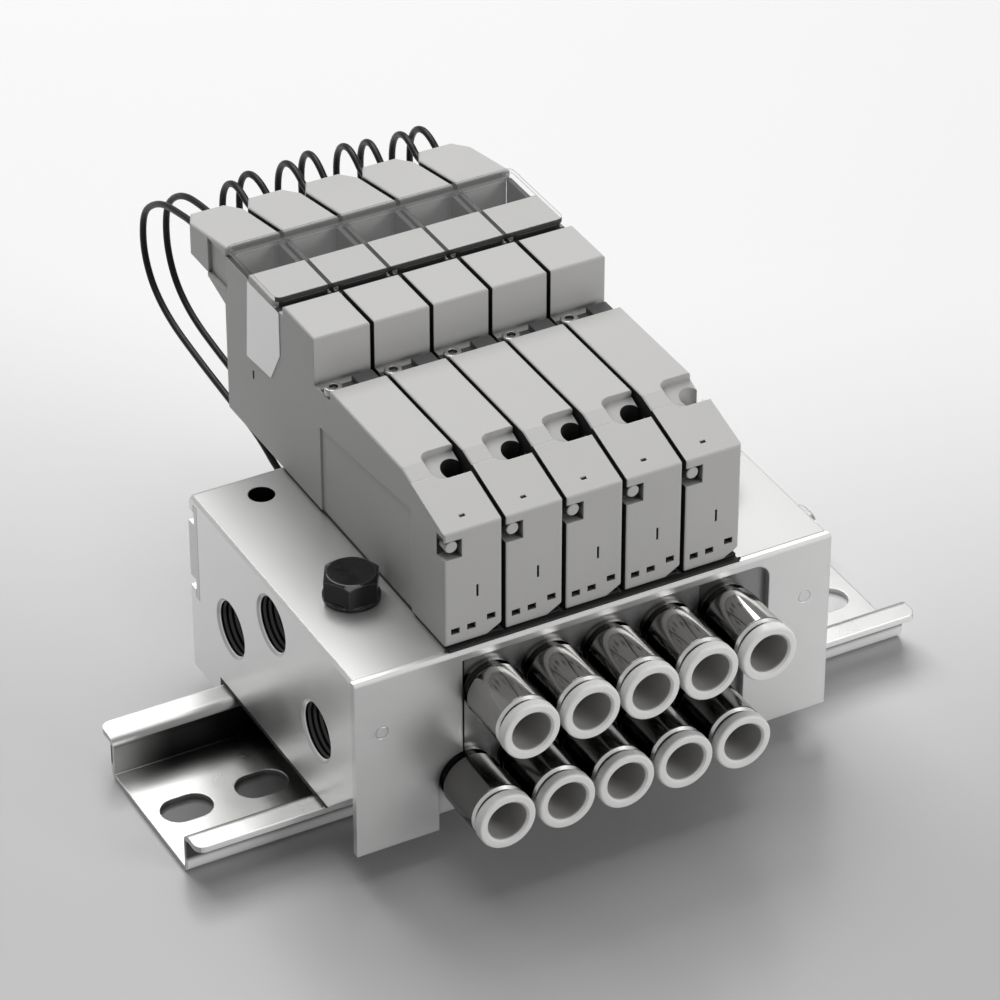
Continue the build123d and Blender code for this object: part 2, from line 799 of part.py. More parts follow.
# Pilot housing: step block, lamp block, plug shelf and the coil's chamber
with BuildPart() as pilot_housing:
    with BuildSketch(Plane.YZ):
        with BuildLine():
            Polyline(
                (body_end, valve_floor),
                (body_end, shelf_z),
                (step_front, shelf_z),
                (step_front, step_z),
                (step_back, step_z),
                (step_back, groove_z),
                (lamp_front, groove_z),
                (lamp_front, lamp_z),
                (lamp_back, lamp_z),
                (lamp_back, ledge_z),
                (ledge_back, ledge_z),
                (ledge_back, socket_z),
                (socket_end, socket_z),
                (socket_end, socket_z - socket_lip),
                (housing_end, socket_z - socket_slope),
                (housing_end, valve_floor),
                close=True,
            )
        make_face()
    extrude(amount=half_valve, both=True)
    lamp_corners = pilot_housing.edges().filter_by(Axis.Z)
    lamp_corners = lamp_corners.filter_by(lambda e: abs(e.center().Y - lamp_front) < 0.01)
    fillet(lamp_corners, lamp_corner)
    step_edges = pilot_housing.edges().filter_by(lambda e: e.center().Z > step_z - 0.01)
    fillet(step_edges, body_edge)
    with BuildSketch(Plane.YZ):
        with BuildLine():
            Polyline(
                (lamp_back, ledge_z),
                (lamp_back, valve_floor + trough_front_height),
                (ledge_back, socket_z),
                (ledge_back, ledge_z),
                close=True,
            )
        make_face()
    extrude(amount=half_valve - housing_wall, both=True, mode=Mode.SUBTRACT)
    with BuildSketch(facing_tubes(0, body_end, spool_z)):
        Circle(spool_bore_radius)
    extrude(amount=-spool_pocket, mode=Mode.SUBTRACT)
    with BuildSketch(facing_tubes(0, coil_front, coil_z)):
        Circle(coil_radius + running_gap)
    extrude(amount=-coil_length, mode=Mode.SUBTRACT)
    with BuildSketch(facing_tubes(0, coil_front - core_length, coil_z)):
        Circle(core_radius + running_gap)
    extrude(amount=-core_length, mode=Mode.SUBTRACT)
    with BuildSketch(Plane.YZ.offset(-half_valve)):
        with BuildLine():
            Polyline(*[(body_end + y, valve_floor + z) for y, z in label_outline], close=True)
        make_face()
    extrude(amount=-label_pad)
    with BuildSketch(Plane.YZ.offset(-half_valve)):
        with Locations((body_end + side_slit_spot[0], valve_floor + side_slit_spot[1])):
            Rectangle(*side_slit_size)
    extrude(amount=side_slit_depth, mode=Mode.SUBTRACT)

# Spool: four lands on a slim stem
land_radius = spool_bore_radius - running_gap
rear_land_start = foot_ports[4][1] + foot_radius + spool_overlap
work_land = 2 * (foot_radius + spool_overlap)
spool_lands = [
    (cap_seam + spool_start, spool_end_land),
    (foot_ports[1][1] + spool_travel / 2 - work_land / 2, work_land),
    (foot_ports[3][1] + spool_travel / 2 - work_land / 2, work_land),
    (rear_land_start, spool_rear_land),
]
with BuildPart() as spool:
    with BuildSketch(facing_tubes(0, spool_lands[0][0], spool_z)):
        Circle(spool_waist)
    extrude(amount=spool_lands[0][0] - spool_lands[-1][0])
    for start, length in spool_lands:
        with BuildSketch(facing_tubes(0, start, spool_z)):
            Circle(land_radius)
        extrude(amount=-length)

# Manual override button, just below the front in its pocket
with BuildPart() as override_button:
    with BuildSketch(facing_tubes(button_side, button_floor - button_proud, button_z)):
        Circle(button_radius)
    extrude(amount=-button_proud - button_stem)
    fillet(override_button.edges().sort_by(Axis.Y)[0], button_rim)

for number, x in enumerate(valve_x, start=1):
    for shape, name in (
        (valve_body, "valve_body"),
        (front_cap, "front_cap"),
        (pilot_housing, "pilot_housing"),
        (spool, "spool"),
        (override_button, "override_button"),
    ):
        with BuildPart() as placed_piece:
            with Locations((x, 0, 0)):
                add(shape.part)
        save(placed_piece.part, f"{name}_{number}")

# Pilot coils: bobbin, winding and fixed core in each housing
with BuildPart() as coil:
    with BuildSketch(facing_tubes(0, coil_front - core_length, coil_z)):
        Circle(core_radius)
    extrude(amount=-core_length)
    with BuildSketch(facing_tubes(0, coil_front, coil_z)):
        Circle(coil_radius - winding_drop)
    extrude(amount=-coil_length)
    with BuildSketch(facing_tubes(0, coil_front, coil_z)):
        Circle(coil_radius)
    extrude(amount=-bobbin_flange)
    with BuildSketch(facing_tubes(0, coil_back - bobbin_flange, coil_z)):
        Circle(coil_radius)
    extrude(amount=-bobbin_flange)

with BuildPart() as pilot_coils:
    with Locations(*[(x, 0, 0) for x in valve_x]):
        add(coil.part)
save(pilot_coils.part, "pilot_coils")

# Valve screws: pan heads with a round recess, the front ones down in their wells
with BuildPart() as valve_screws:
    for (side, y), seat in zip(screw_spots, screw_seats):
        spots = [(x + side, y) for x in valve_x]
        tip = base_top - screw_bite
        with BuildSketch(upright(0, 0, tip)):
            with Locations(*spots):
                Circle(screw_radius)
        extrude(amount=seat - tip)
        with BuildSketch(upright(0, 0, seat)):
            with Locations(*spots):
                Circle(screw_head_radius)
        extrude(amount=screw_head_height)
        with BuildSketch(upright(0, 0, seat + screw_head_height)):
            with Locations(*spots):
                Circle(screw_recess_radius)
        extrude(amount=-screw_recess_depth, mode=Mode.SUBTRACT)
    head_rims = valve_screws.edges().filter_by(GeomType.CIRCLE)
    head_rims = head_rims.filter_by(lambda e: e.radius > screw_head_radius - 0.01)
    upper_rims = head_rims.filter_by(
        lambda e: min(abs(e.center().Z - seat - screw_head_height) for seat in screw_seats) < 0.01
    )
    fillet(upper_rims, screw_head_edge)
save(valve_screws.part, "valve_screws")

# Indicator cover: one clear sheet across the lamps, its rear lip on the ledges
cover_length = valve_count * valve_pitch - valve_gap
cover_underside = step_z - cover_sheet
with BuildPart() as lamp_cover:
    with BuildSketch(upright(0, (lamp_front + ledge_back) / 2, cover_underside)):
        RectangleRounded(cover_length, ledge_back - lamp_front, cover_corner)
    extrude(amount=cover_sheet)
    with BuildSketch(upright(0, ledge_back, ledge_z)):
        Rectangle(cover_length - 2 * cover_corner, cover_sheet, align=(Align.CENTER, Align.MAX))
    extrude(amount=cover_underside - ledge_z)
save(lamp_cover.part, "lamp_cover")

# Connector plugs: one on each shelf, two lead holes in the nose
plug_half = half_valve - plug_side_gap
plug_full_end = plug_front + plug_full_length
with BuildPart() as plug:
    with BuildSketch(Plane.YZ):
        with BuildLine():
            Polyline(
                (plug_front, socket_z),
                (plug_front, valve_floor + plug_front_height),
                (plug_back, valve_floor + plug_rear_height),
                (plug_back, socket_z),
                close=True,
            )
        make_face()
    extrude(amount=plug_half, both=True)
    with BuildSketch(upright(0, 0, socket_z)) as nose:
        with BuildLine():
            Polyline(
                (plug_half, plug_full_end),
                (plug_half + plug_waist, plug_full_end),
                (plug_half + plug_waist, plug_back),
                (plug_nose_width / 2, plug_back),
                close=True,
            )
        make_face()
        mirror(about=Plane.YZ)
    extrude(amount=plug_front_height, mode=Mode.SUBTRACT)
    soft_edges = plug.faces().sort_by(Axis.Z)[-1].edges()
    fillet(soft_edges, plug_edge)
    with BuildSketch(upright(plug_half - plug_waist, plug_front, socket_z)):
        Rectangle(plug_waist, plug_waist_length, align=(Align.MIN, Align.MIN))
    right_waist = extrude(amount=valve_floor + plug_waist_height - socket_z, mode=Mode.SUBTRACT)
    mirror(right_waist, about=Plane.YZ, mode=Mode.SUBTRACT)
    with BuildSketch(facing_tubes(0, plug_back, valve_floor + lead_plug_height)):
        with Locations((-lead_spread, 0), (lead_spread, 0)):
            Circle(lead_radius + seat_gap)
    extrude(amount=lead_seat + lead_hole_spare, mode=Mode.SUBTRACT)

with BuildPart() as connector_plugs:
    with Locations(*[(x, 0, 0) for x in valve_x]):
        add(plug.part)
save(connector_plugs.part, "connector_plugs")

# Lead strip: T-shaped bar in the channel along the back of the base
lead_x = [x + side * lead_spread for x in valve_x for side in (-1, 1)]
foot_back = lip_y - strip_play
foot_front = channel_y + strip_play
strip_top = base_top - strip_top_drop
with BuildPart() as lead_strip:
    with BuildSketch(Plane.YZ.offset(-base_end)):
        with BuildLine():
            Polyline(
                (foot_front, base_top - strip_foot_top),
                (foot_back, base_top - strip_foot_top),
                (foot_back, strip_top),
                (base_back, strip_top),
                (base_back, strip_top - strip_height),
                (foot_back, strip_top - strip_height),
                (foot_back, base_top - strip_foot_low),
                (foot_front, base_top - strip_foot_low),
                close=True,
            )
        make_face()
    extrude(amount=base_length)
    with BuildSketch(facing_tubes(0, base_back, lead_strip_height)):
        with Locations(*[(x, 0) for x in lead_x]):
            Circle(lead_radius + seat_gap)
    extrude(amount=lead_seat + lead_hole_spare, mode=Mode.SUBTRACT)
save(lead_strip.part, "lead_strip")

# Leads: each leaves its plug, loops over and runs back under it to the strip.
# Route points are depth and height; every lead has its own sway, rise and reach.
plug_end_y = plug_back - lead_seat
strip_end_y = base_back - lead_seat
lead_z = valve_floor + lead_plug_height
lead_route = [
    (plug_end_y, lead_z, 0.0, 0.0),
    (plug_end_y + 3.6, lead_z, 0.0, 0.0),
    (plug_end_y + 7.2, lead_z + 1.8, 0.2, 0.5),
    (plug_end_y + 11.1, lead_z + 2.2, 0.5, 0.8),
    (plug_end_y + 14.7, lead_z + 0.8, 0.7, 1.0),
    (plug_end_y + 17.2, lead_z - 2.5, 0.9, 1.0),
    (plug_end_y + 17.7, lead_z - 7.8, 1.0, 0.9),
    (plug_end_y + 17.0, lead_z - 13.6, 1.0, 0.65),
    (plug_end_y + 14.6, lead_z - 19.0, 0.9, 0.4),
    (plug_end_y + 10.0, lead_z - 23.2, 0.6, 0.15),
    (strip_end_y + 35.0, lead_strip_height + 4.7, 0.2, 0.0),
    (strip_end_y + 24.0, lead_strip_height + 3.6, 0.0, 0.0),
    (strip_end_y + 14.7, lead_strip_height + 3.0, 0.0, 0.0),
    (strip_end_y + 6.9, lead_strip_height, 0.0, 0.0),
    (strip_end_y, lead_strip_height, 0.0, 0.0),
]
lead_shapes = [
    (0.1, -5.6, 5.4),
    (-0.3, -4.4, 3.6),
    (0.6, -1.4, -0.8),
    (-0.6, -0.2, -0.7),
    (0.1, -0.5, -0.5),
    (-0.1, 0.4, -0.8),
    (0.1, 0.1, -1.1),
    (0.3, 0.3, -0.6),
    (0.6, -0.6, -1.0),
    (-0.6, 0.2, -0.8),
]
for number, (x, shape) in enumerate(zip(lead_x, lead_shapes)):
    sway, rise, reach = shape
    points = [(x + sway * bow, y + reach * bow, z + rise * lift) for y, z, bow, lift in lead_route]
    radii = []
    for before, here, after in zip(points, points[1:], points[2:]):
        run_in = Vector(*here) - Vector(*before)
        run_out = Vector(*after) - Vector(*here)
        half_turn = radians(run_in.get_angle(run_out)) / 2
        radii.append(0.45 * min(run_in.length, run_out.length) / tan(half_turn))
    name = f"lead_{number // 2 + 1}{'ab'[number % 2]}"
    print(name, "bend radii", [round(radius, 1) for radius in radii])
    with BuildPart() as lead:
        with BuildLine() as path:
            FilletPolyline(*points, radius=radii)
        with BuildSketch(Plane(origin=path.line @ 0, z_dir=path.line % 0)):
            Circle(lead_radius)
        sweep()
    save(lead.part, name)
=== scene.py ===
import bpy
import bmesh
import json
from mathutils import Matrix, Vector


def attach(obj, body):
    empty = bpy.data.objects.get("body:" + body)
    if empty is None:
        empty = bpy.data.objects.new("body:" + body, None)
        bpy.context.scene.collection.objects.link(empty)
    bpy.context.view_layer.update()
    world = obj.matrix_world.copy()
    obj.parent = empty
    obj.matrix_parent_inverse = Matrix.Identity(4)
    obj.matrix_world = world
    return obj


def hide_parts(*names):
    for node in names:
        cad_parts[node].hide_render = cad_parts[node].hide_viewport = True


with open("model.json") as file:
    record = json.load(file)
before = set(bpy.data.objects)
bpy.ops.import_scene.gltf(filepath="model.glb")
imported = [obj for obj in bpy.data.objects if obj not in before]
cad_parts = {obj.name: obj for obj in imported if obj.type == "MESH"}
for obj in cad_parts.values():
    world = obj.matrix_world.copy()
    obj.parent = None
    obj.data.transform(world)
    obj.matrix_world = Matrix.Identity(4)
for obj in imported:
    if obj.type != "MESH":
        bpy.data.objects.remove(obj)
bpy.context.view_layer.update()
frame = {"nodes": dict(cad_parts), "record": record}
scene = bpy.context.scene
scene.view_settings.view_transform = "Standard"

# Lengths are in metres, except where a comment says millimetres.
HALF_PITCH = 0.005      # half the step from one valve to the next
STACK_SIDE = 0.0245     # just inside the outer sides of the five valves
ROW_SPLIT = 0.0218      # height between the two rows of fittings
BASE_FRONT = -0.0266    # just behind the base's front face
FULL_TURN = 6.2832


def look_at(thing, target):
    """Turn a camera or a lamp to face a point."""
    aim = Vector(target) - Vector(thing.location)
    thing.rotation_euler = aim.to_track_quat("-Z", "Y").to_euler()


# Camera
camera_data = bpy.data.cameras.new("camera")
camera_data.lens = 175.33
camera_data.sensor_width = 36.0
camera_data.clip_start = 0.05
camera_data.clip_end = 20.0
camera = bpy.data.objects.new("camera", camera_data)
scene.collection.objects.link(camera)
camera.location = (-0.28864, -0.53257, 0.45606)
look_at(camera, (-0.00843, -0.01325, 0.05019))
scene.camera = camera


def grey(level, warmth=0.0):
    """Grey, with less blue by its warmth."""
    return (level, level, round(level - warmth, 4))


def ramp(tree, socket, low, high, out_low=0.0, out_high=1.0, smooth=False):
    """Socket that goes from out_low to out_high as the input goes from low to high."""
    node = tree.nodes.new("ShaderNodeMapRange")
    if smooth:
        node.interpolation_type = "SMOOTHSTEP"
    node.inputs["From Min"].default_value = low
    node.inputs["From Max"].default_value = high
    node.inputs["To Min"].default_value = out_low
    node.inputs["To Max"].default_value = out_high
    tree.links.new(socket, node.inputs["Value"])
    return node.outputs["Result"]


def compute(tree, kind, *values):
    """Socket with the result of one sum; each value is a socket or a number."""
    node = tree.nodes.new("ShaderNodeMath")
    node.operation = kind
    for slot, value in zip(node.inputs, values):
        if isinstance(value, (int, float)):
            slot.default_value = value
        else:
            tree.links.new(value, slot)
    return node.outputs["Value"]


def mixed(tree, factor, first, second):
    """Colour mixed by a factor; each colour is a socket or three numbers."""
    node = tree.nodes.new("ShaderNodeMix")
    node.data_type = "RGBA"
    tree.links.new(factor, node.inputs["Factor"])
    for slot, value in (("A", first), ("B", second)):
        if isinstance(value, (tuple, list)):
            node.inputs[slot].default_value = list(value) + [1]
        else:
            tree.links.new(value, node.inputs[slot])
    return node.outputs["Result"]


def object_place(tree):
    """Object coordinates as one vector."""
    return tree.nodes.new("ShaderNodeTexCoord").outputs["Object"]


def axes(tree):
    """The three object coordinates."""
    split = tree.nodes.new("ShaderNodeSeparateXYZ")
    tree.links.new(object_place(tree), split.inputs["Vector"])
    return split.outputs


def in_valve(tree, x):
    """x counted from the middle of the nearest valve."""
    return compute(tree, "WRAP", x, HALF_PITCH, -HALF_PITCH)


def wide(tree, value):
    """A coordinate without its sign."""
    return compute(tree, "ABSOLUTE", value)


def distance(tree, first, second, spot):
    """Distance from a spot in a plane."""
    across = compute(tree, "SUBTRACT", first, spot[0])
    along = compute(tree, "SUBTRACT", second, spot[1])
    squares = compute(tree, "ADD", compute(tree, "MULTIPLY", across, across),
                      compute(tree, "MULTIPLY", along, along))
    return compute(tree, "SQRT", squares)


def within(tree, *ranges):
    """Mask that is 1 where each value is between its two limits; None leaves one open."""
    inside = 1.0
    for value, low, high in ranges:
        if low is not None:
            above = compute(tree, "GREATER_THAN", value, low)
            inside = compute(tree, "MULTIPLY", above, inside)
        if high is not None:
            below = compute(tree, "LESS_THAN", value, high)
            inside = compute(tree, "MULTIPLY", below, inside)
    return inside


def noise(tree, place, scale, detail=2.0, rough=0.5):
    """Cloudy pattern."""
    node = tree.nodes.new("ShaderNodeTexNoise")
    node.inputs["Scale"].default_value = scale
    node.inputs["Detail"].default_value = detail
    node.inputs["Roughness"].default_value = rough
    tree.links.new(place, node.inputs["Vector"])
    return node.outputs["Fac"]


def rounded(tree, radius):
    """Surface direction with softened edges."""
    node = tree.nodes.new("ShaderNodeBevel")
    node.samples = 4
    node.inputs["Radius"].default_value = radius
    return node.outputs["Normal"]


def edge_mask(tree, soft_normal, flat_normal, full):
    """Mask of the edges, where the softened direction leaves the flat one; 1 at full."""
    edge_start = 0.99
    match = tree.nodes.new("ShaderNodeVectorMath")
    match.operation = "DOT_PRODUCT"
    tree.links.new(soft_normal, match.inputs[0])
    tree.links.new(flat_normal, match.inputs[1])
    return ramp(tree, match.outputs["Value"], edge_start, full)


def material(name, color, rough, metal=0.0, vary=0.05, blotch=45.0, grain=900.0, bump=0.04,
             stretch=(1, 1, 1), soft_edge=0.00025, edge=None, rough_vary=0.06, seam=0.0,
             seam_reach=0.0015, own=False, specular=0.5):
    """Surface with cloudy colour, uneven gloss, fine grain and softened edges; optional painted
    highlight along the edges and painted shade in creases.
    """
    cloud_range = (0.3, 0.7)
    smoothest = 0.02
    grain_height = 0.0002
    edge_full = 0.86
    seam_range = (0.25, 0.85)
    seam_shade = 0.05
    made = bpy.data.materials.new(name)
    made.use_nodes = True
    tree = made.node_tree
    shader = tree.nodes["Principled BSDF"]
    shader.inputs["Metallic"].default_value = metal
    shader.inputs["Specular IOR Level"].default_value = specular
    place = object_place(tree)
    cloud = noise(tree, place, blotch, detail=5.0, rough=0.6)
    surface = mixed(tree, cloud, [c * (1 - vary) for c in color],
                    [min(1, c * (1 + vary)) for c in color])
    gloss = ramp(tree, cloud, *cloud_range, max(smoothest, rough - rough_vary),
                 rough + rough_vary)
    tree.links.new(gloss, shader.inputs["Roughness"])
    streaks = tree.nodes.new("ShaderNodeMapping")
    streaks.inputs["Scale"].default_value = stretch
    tree.links.new(place, streaks.inputs["Vector"])
    fine = noise(tree, streaks.outputs["Vector"], grain, detail=3.0)
    soft_normal = rounded(tree, soft_edge)
    relief = tree.nodes.new("ShaderNodeBump")
    relief.name = "relief"
    relief.inputs["Strength"].default_value = bump
    relief.inputs["Distance"].default_value = grain_height
    tree.links.new(fine, relief.inputs["Height"])
    tree.links.new(soft_normal, relief.inputs["Normal"])
    tree.links.new(relief.outputs["Normal"], shader.inputs["Normal"])
    # Painted highlight: the edges take the paler edge colour
    if edge is not None:
        flat = tree.nodes.new("ShaderNodeNewGeometry")
        edge_highlight = edge_mask(tree, soft_normal, flat.outputs["Normal"], edge_full)
        surface = mixed(tree, edge_highlight, surface, edge)
    # Painted shade: colour darkens where ambient occlusion finds creases and gaps
    if seam:
        shade = tree.nodes.new("ShaderNodeAmbientOcclusion")
        shade.samples = 6
        shade.only_local = own
        shade.inputs["Distance"].default_value = seam_reach
        crease_shade = ramp(tree, shade.outputs["AO"], *seam_range, seam, 0.0)
        surface = mixed(tree, crease_shade, surface, [c * seam_shade for c in color])
    tree.links.new(surface, shader.inputs["Base Color"])
    return made


def overlay(made, mask, color, rough=None, metal=None):
    """Another finish where the mask is 1."""
    tree = made.node_tree
    shader = tree.nodes["Principled BSDF"]
    below = shader.inputs["Base Color"].links[0].from_socket
    tree.links.new(mixed(tree, mask, below, color), shader.inputs["Base Color"])
    for name, value in (("Roughness", rough), ("Metallic", metal)):
        if value is None:
            continue
        blend = tree.nodes.new("ShaderNodeMix")
        if shader.inputs[name].links:
            tree.links.new(shader.inputs[name].links[0].from_socket, blend.inputs["A"])
        else:
            blend.inputs["A"].default_value = shader.inputs[name].default_value
        blend.inputs["B"].default_value = value
        tree.links.new(mask, blend.inputs["Factor"])
        tree.links.new(blend.outputs["Result"], shader.inputs[name])


def thread(made, ports, radius, end, pitch, rim):
    """Pale countersinks, and threaded walls of the ports in both ends of the base darkened with
    painted shade.
    """
    tree = made.node_tree
    shader = tree.nodes["Principled BSDF"]
    x, y, z = axes(tree)
    depth = wide(tree, x)
    bores = 0.0
    mouths = 0.0
    for spot in ports:
        from_axis = distance(tree, y, z, spot)
        bores = compute(tree, "ADD", compute(tree, "LESS_THAN", from_axis, radius), bores)
        mouths = compute(tree, "ADD", compute(tree, "LESS_THAN", from_axis, radius + rim), mouths)
    outside = compute(tree, "GREATER_THAN", depth, end)
    overlay(made, compute(tree, "MULTIPLY", mouths, outside), grey(0.66, 0.005))
    inside = compute(tree, "MULTIPLY", bores, compute(tree, "LESS_THAN", depth, end))
    turn = compute(tree, "SINE", compute(tree, "MULTIPLY", depth, FULL_TURN / pitch))
    tooth = tree.nodes.new("ShaderNodeBump")
    tooth.inputs["Strength"].default_value = 0.9
    tooth.inputs["Distance"].default_value = 0.0004
    tree.links.new(compute(tree, "MULTIPLY", turn, inside), tooth.inputs["Height"])
    tree.links.new(tree.nodes["relief"].outputs["Normal"], tooth.inputs["Normal"])
    tree.links.new(tooth.outputs["Normal"], shader.inputs["Normal"])
    # Painted shade on the threaded walls inside the ports
    overlay(made, inside, grey(0.11), rough=0.3)


def clear_cover():
    """Clear polycarbonate: see-through faces, painted shade on its edges and front, faint haze."""
    edge_radius = 0.0004
    edge_full = 0.80
    front_face = 0.0285
    faces_front = -0.5
    clear_rough = (0.03, 0.12)
    front_rough = 0.6
    face_to_edge_solid = (0.06, 0.6)
    front_solid = 0.97
    made = bpy.data.materials.new("cover_clear")
    made.use_nodes = True
    tree = made.node_tree
    shader = tree.nodes["Principled BSDF"]
    shader.inputs["IOR"].default_value = 1.5
    haze = noise(tree, object_place(tree), 60.0, detail=4.0)
    tint = mixed(tree, haze, grey(0.80), grey(0.90, 0.005))
    soft_normal = rounded(tree, edge_radius)
    flat = tree.nodes.new("ShaderNodeNewGeometry")
    rim = edge_mask(tree, soft_normal, flat.outputs["Normal"], edge_full)
    facing = tree.nodes.new("ShaderNodeSeparateXYZ")
    tree.links.new(flat.outputs["Normal"], facing.inputs["Vector"])
    x, y, z = axes(tree)
    front = within(tree, (facing.outputs["Y"], None, faces_front), (y, None, front_face))
    gloss = compute(tree, "MAXIMUM", ramp(tree, haze, 0.0, 1.0, *clear_rough),
                    compute(tree, "MULTIPLY", front, front_rough))
    tree.links.new(gloss, shader.inputs["Roughness"])
    # Painted shade: the edges and the front are dark and nearly solid
    dark = compute(tree, "MAXIMUM", rim, front)
    tree.links.new(mixed(tree, dark, tint, grey(0.015)), shader.inputs["Base Color"])
    solid = compute(tree, "MAXIMUM", ramp(tree, rim, 0.0, 1.0, *face_to_edge_solid),
                    compute(tree, "MULTIPLY", front, front_solid))
    tree.links.new(solid, shader.inputs["Alpha"])
    tree.links.new(soft_normal, shader.inputs["Normal"])
    return made


plastic = (0.58, 0.575, 0.565)
# Paler colour for the painted highlight along the edges of the plastics
pale_edge = (0.72, 0.715, 0.70)
brushed = {"stretch": (0.04, 1, 1), "grain": 2200}
moulded = {"specular": 0.3, "grain": 2600, "bump": 0.10, "edge": pale_edge}
looks = {
    "base": material("base_satin", grey(0.93, 0.01), 0.34, metal=0.92, vary=0.03, bump=0.06,
                     edge=grey(0.94, 0.01), seam=0.8, seam_reach=0.002, **brushed),
    "plate": material("plate_satin", grey(0.84, 0.01), 0.34, metal=0.8, vary=0.03, bump=0.05,
                      edge=grey(0.97, 0.01), seam=0.6, **brushed),
    "steel": material("bright_steel", grey(0.50, 0.01), 0.28, metal=1.0, grain=1500,
                      edge=grey(0.7), seam=0.6),
    "rail": material("rail_zinc", grey(0.54, 0.01), 0.30, metal=1.0, blotch=70, bump=0.03,
                     stretch=(0.05, 1, 1), grain=1600, edge=grey(0.95), seam=0.4),
    "bolt": material("bolt_black", grey(0.006), 0.12, vary=0.3, blotch=250, grain=420,
                     bump=0.5, soft_edge=0.0003, edge=grey(0.16)),
    "nickel": material("nickel", (0.36, 0.355, 0.345), 0.15, metal=1.0, vary=0.10, blotch=160,
                       bump=0.03, rough_vary=0.05, soft_edge=0.0002, seam=0.95,
                       seam_reach=0.007),
    "gasket": material("gasket_rubber", grey(0.010), 0.6, vary=0.3, bump=0.1),
    "coil": material("coil_winding", (0.20, 0.07, 0.02), 0.4, grain=2500, stretch=(1, 0.1, 1),
                     bump=0.3),
    "plug": material("plug_plastic", (0.60, 0.595, 0.585), 0.50, seam=0.8, **moulded),
    "strip": material("strip_satin", grey(0.76, 0.01), 0.36, metal=0.8, vary=0.03, bump=0.06,
                      edge=grey(0.92, 0.01), seam=0.6, **brushed),
    "body": material("body_plastic", plastic, 0.50, vary=0.06, seam=0.9, seam_reach=0.002,
                     **moulded),
    "cap": material("cap_plastic", plastic, 0.50, seam=0.95, **moulded),
    "housing": material("housing_plastic", plastic, 0.50, seam=0.85, own=True, **moulded),
    "spool": material("spool_metal", grey(0.7), 0.2, metal=1.0, grain=1500),
    "button": material("button_plastic", (0.60, 0.595, 0.58), 0.42, vary=0.08, edge=pale_edge,
                       seam=0.8),
    "ring": material("ring_plastic", (0.98, 0.975, 0.96), 0.34, vary=0.02, grain=2600,
                     seam=0.3, seam_reach=0.003),
    "lead": material("lead_sheath", grey(0.006), 0.38, specular=0.25, vary=0.3, bump=0.05),
}
thread(looks["base"], ports=[(-0.0150, 0.0202), (-0.0005, 0.0303), (0.0140, 0.0202)],
       radius=0.00443, end=0.03995, pitch=0.0009, rim=0.0005)

# Painted shade in the gaps between the valves: the last of each side wall and its edge
gap_starts = {"body": 0.00470, "cap": 0.00463, "housing": 0.00463, "plug": 0.00463}
for slot, gap_start in gap_starts.items():
    tree = looks[slot].node_tree
    x, y, z = axes(tree)
    gap = within(tree, (wide(tree, in_valve(tree, x)), gap_start, None),
                 (wide(tree, x), None, STACK_SIDE))
    overlay(looks[slot], gap, grey(0.02), rough=0.7)

# Shadowed screw wells of the first four valves; the fifth lies in the light
well_middle = (0.0032, -0.0142)
well_radius = 0.00181
well_floor = 0.050
fourth_side = 0.0180
for slot in ("body", "cap", "steel"):
    tree = looks[slot].node_tree
    x, y, z = axes(tree)
    from_screw = distance(tree, in_valve(tree, x), y, well_middle)
    well = within(tree, (from_screw, None, well_radius), (z, well_floor, None),
                  (x, None, fourth_side))
    overlay(looks[slot], well, grey(0.03), rough=0.5)

# Shadowed trench behind the caps
trench_front = 0.0096
trench_floor, trench_top = 0.0560, 0.0605
tree = looks["body"].node_tree
x, y, z = axes(tree)
trench = within(tree, (y, trench_front, None), (z, trench_floor, trench_top),
                (wide(tree, x), None, STACK_SIDE))
overlay(looks["body"], trench, grey(0.12))

# Painted shade on the walls of the button pockets
pocket_x = (-0.00526, -0.00194)
pocket_y = (-0.0263, -0.0243)
pocket_z = (0.0528, 0.0566)
tree = looks["cap"].node_tree
x, y, z = axes(tree)
pocket = within(tree, (in_valve(tree, x), *pocket_x), (y, *pocket_y), (z, *pocket_z))
overlay(looks["cap"], pocket, grey(0.035))

# Painted shade: grey in the trough behind the lamps, dark on its dividers and in the groove before
# them
trough_y = (0.03655, 0.04465)
trough_floor = 0.0585
trough_side = 0.0247
divider_start = 0.0038
groove_y = (0.0263, 0.0276)
groove_floor = 0.0650
tree = looks["housing"].node_tree
x, y, z = axes(tree)
trough = within(tree, (y, *trough_y), (z, trough_floor, None), (wide(tree, x), None, trough_side))
overlay(looks["housing"], trough, grey(0.13))
from_middle = wide(tree, in_valve(tree, x))
divider = compute(tree, "MULTIPLY", trough, within(tree, (from_middle, divider_start, None)))
overlay(looks["housing"], divider, grey(0.03))
groove = within(tree, (y, *groove_y), (z, groove_floor, None))
overlay(looks["housing"], groove, grey(0.03))

# Pale satin field on the first valve's side
first_side = -0.0248
overlay(looks["housing"], within(tree, (x, None, first_side)), grey(0.90, 0.005), rough=0.3,
        metal=0.5)

# Release rings: painted shade, dark on the stem behind the lip and grey in the bore
row_shift = 0.002
lower_axis, upper_axis = 0.0143, 0.0293
bore_radius = 0.00325
lip_back = -0.03932
tree = looks["ring"].node_tree
x, y, z = axes(tree)
upper = compute(tree, "GREATER_THAN", z, ROW_SPLIT)
shift = ramp(tree, upper, 0.0, 1.0, row_shift, -row_shift)
across = in_valve(tree, compute(tree, "ADD", x, shift))
height = compute(tree, "SUBTRACT", z, ramp(tree, upper, 0.0, 1.0, lower_axis, upper_axis))
from_axis = distance(tree, across, height, (0.0, 0.0))
bore = within(tree, (from_axis, None, bore_radius))
stem = within(tree, (from_axis, bore_radius, None), (y, lip_back, None))
overlay(looks["ring"], bore, (0.50, 0.495, 0.48))
overlay(looks["ring"], stem, grey(0.02))

